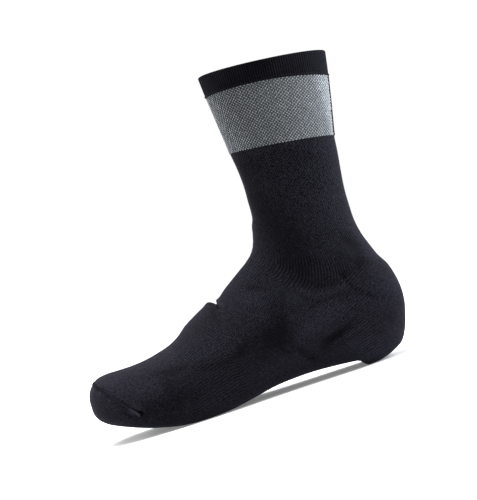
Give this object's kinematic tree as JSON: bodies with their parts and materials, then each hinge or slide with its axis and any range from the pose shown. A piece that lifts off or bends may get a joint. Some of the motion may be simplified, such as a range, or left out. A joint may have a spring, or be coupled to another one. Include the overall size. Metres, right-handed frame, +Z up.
{
  "type": "cycling overshoe",
  "caption": "Knitted pull-on overshoe with a tall shaft, reflective band and turned cuff, shaped over a cycling shoe and open at the collar.",
  "frame": {"origin": "on the floor, at the middle of the overshoe's length and width", "axes": "toe towards -X, heel towards +X, outer side towards -Y, +Z up along the shaft"},
  "size_m": [0.2858, 0.1024, 0.2776],
  "materials": {
    "black_knit": "fine weft knit of black elastic nylon with a faint blue sheen",
    "sole_knit": "dense plain knit of black aramid and nylon",
    "seam_thread": "linked toe seam in black thread",
    "reflective_knit": "light grey reflective stitches in rows on a dark knitted ground",
    "cuff_rib": "double welt of black elastic rib"
  },
  "bodies": {
    "root": {"upper": "black_knit", "sole": "sole_knit", "toe_pocket": "black_knit", "toe_seam": "seam_thread", "reflective_band": "reflective_knit", "back_strip": "black_knit", "cuff": "cuff_rib"}
  },
  "joints": []
}
